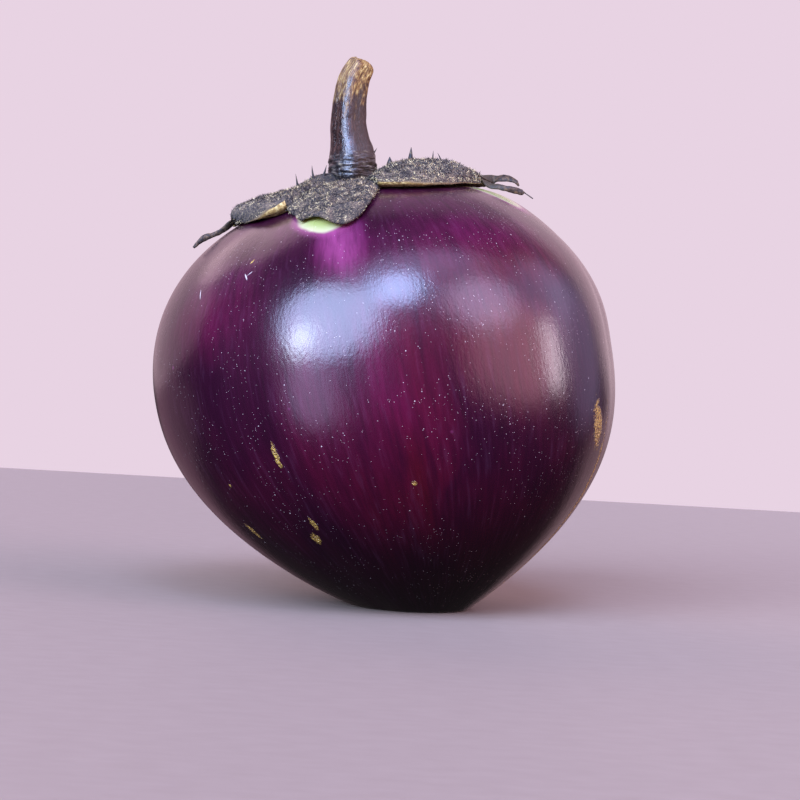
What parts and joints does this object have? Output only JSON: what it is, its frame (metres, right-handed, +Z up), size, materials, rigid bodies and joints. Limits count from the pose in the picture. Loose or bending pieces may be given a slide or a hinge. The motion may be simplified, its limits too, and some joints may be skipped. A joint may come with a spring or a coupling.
{
  "type": "eggplant",
  "caption": "Round, dark purple eggplant that stands on its flattened blossom end, with a dried, prickly calyx and a short cut stem.",
  "frame": {"origin": "centre of the flattened blossom end that the fruit stands on, in the plane of the surface below it", "axes": "+Z up, -Y towards the side with the broad front sepal, +X to the right as that side is seen; the fruit leans about 11 degrees towards -X"},
  "size_m": [0.1138, 0.1133, 0.1345],
  "materials": {
    "skin": "taut waxy skin, smooth and glossy, dark purple with a magenta flush",
    "calyx": "dried, matt and finely fuzzy, grey-black with tan edges",
    "stem": "dried peduncle, satin, brown-black with a tan, fibrous upper end"
  },
  "bodies": {
    "root": {"fruit": "skin", "calyx": "calyx", "stem": "stem"}
  },
  "joints": []
}
